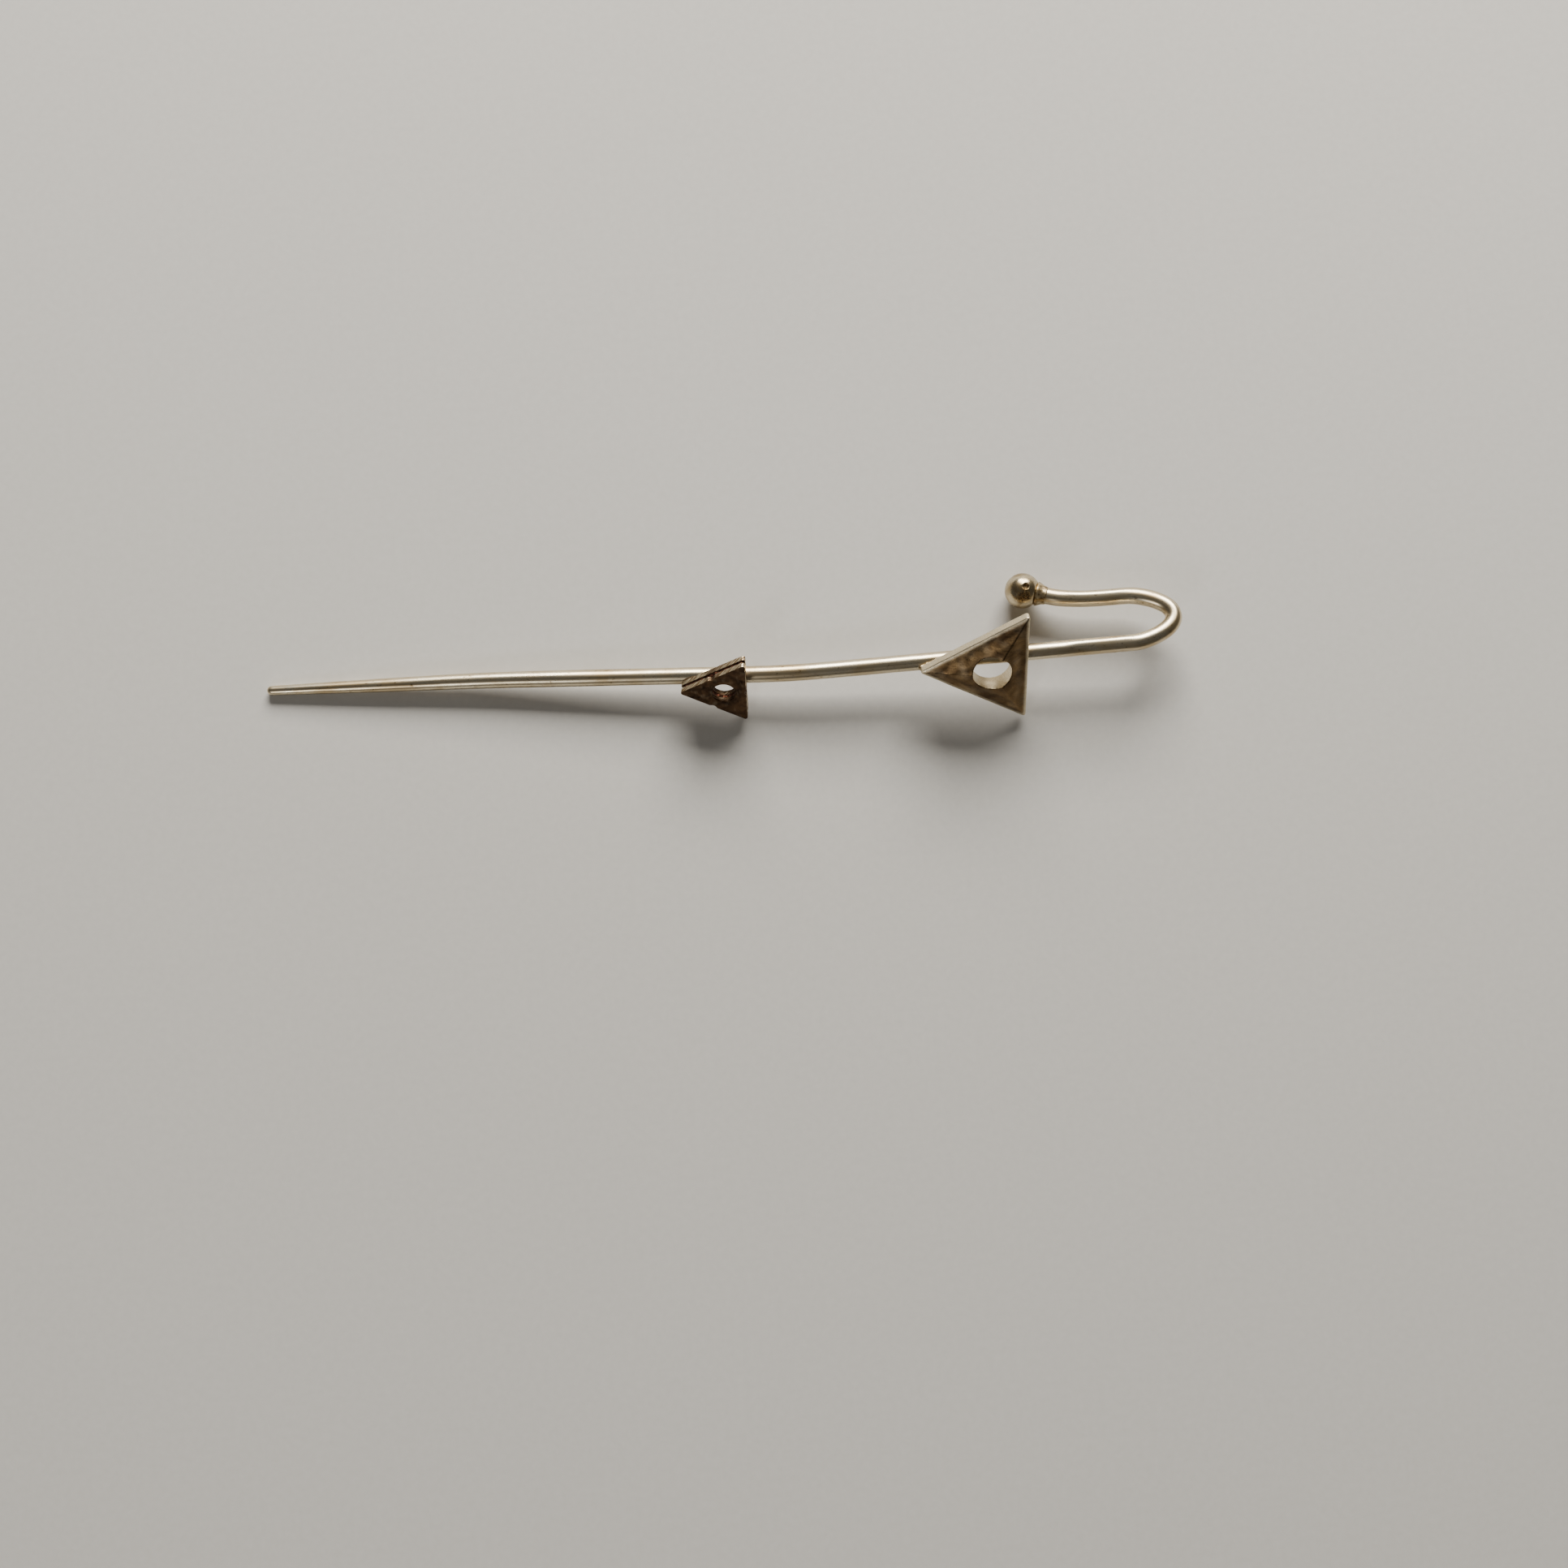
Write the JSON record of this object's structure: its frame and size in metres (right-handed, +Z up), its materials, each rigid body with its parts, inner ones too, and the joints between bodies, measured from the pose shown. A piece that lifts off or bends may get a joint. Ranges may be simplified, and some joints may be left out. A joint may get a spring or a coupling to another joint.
{
  "type": "hat pin",
  "caption": "Bent-wire hat pin with a hooked end, a ball, and two openwork triangles soldered to its shaft.",
  "frame": {"origin": "bottom centre of the pin's bounding box, on the surface that the pin lies on", "axes": "+X along the shaft from the point to the hook; +Y the side that the hook turns to; +Z up from the surface that the pin lies on"},
  "size_m": [0.065, 0.01, 0.0067],
  "materials": {
    "drawn_wire": "drawn and polished wire, pale gold, worn bright on top",
    "ball": "polished, with a small rough patch beside the joint",
    "ball_solder": "rough grey-gold solder fillet",
    "large_triangle": "cast and hand polished, soft facets, tarnished brown",
    "small_sheets": "filed sheet with fine marks along its edges",
    "seam_solder": "dark reddish solder seam",
    "solder": "dull solder with a satin skin"
  },
  "bodies": {
    "root": {"pin_wire": "drawn_wire", "end_ball": "ball", "ball_solder": "ball_solder", "large_triangle": "large_triangle", "large_triangle_solder": "solder", "small_back_sheet": "small_sheets", "small_sheet_solder": "seam_solder", "small_front_sheet": "small_sheets", "small_triangle_solder": "solder"}
  },
  "joints": []
}
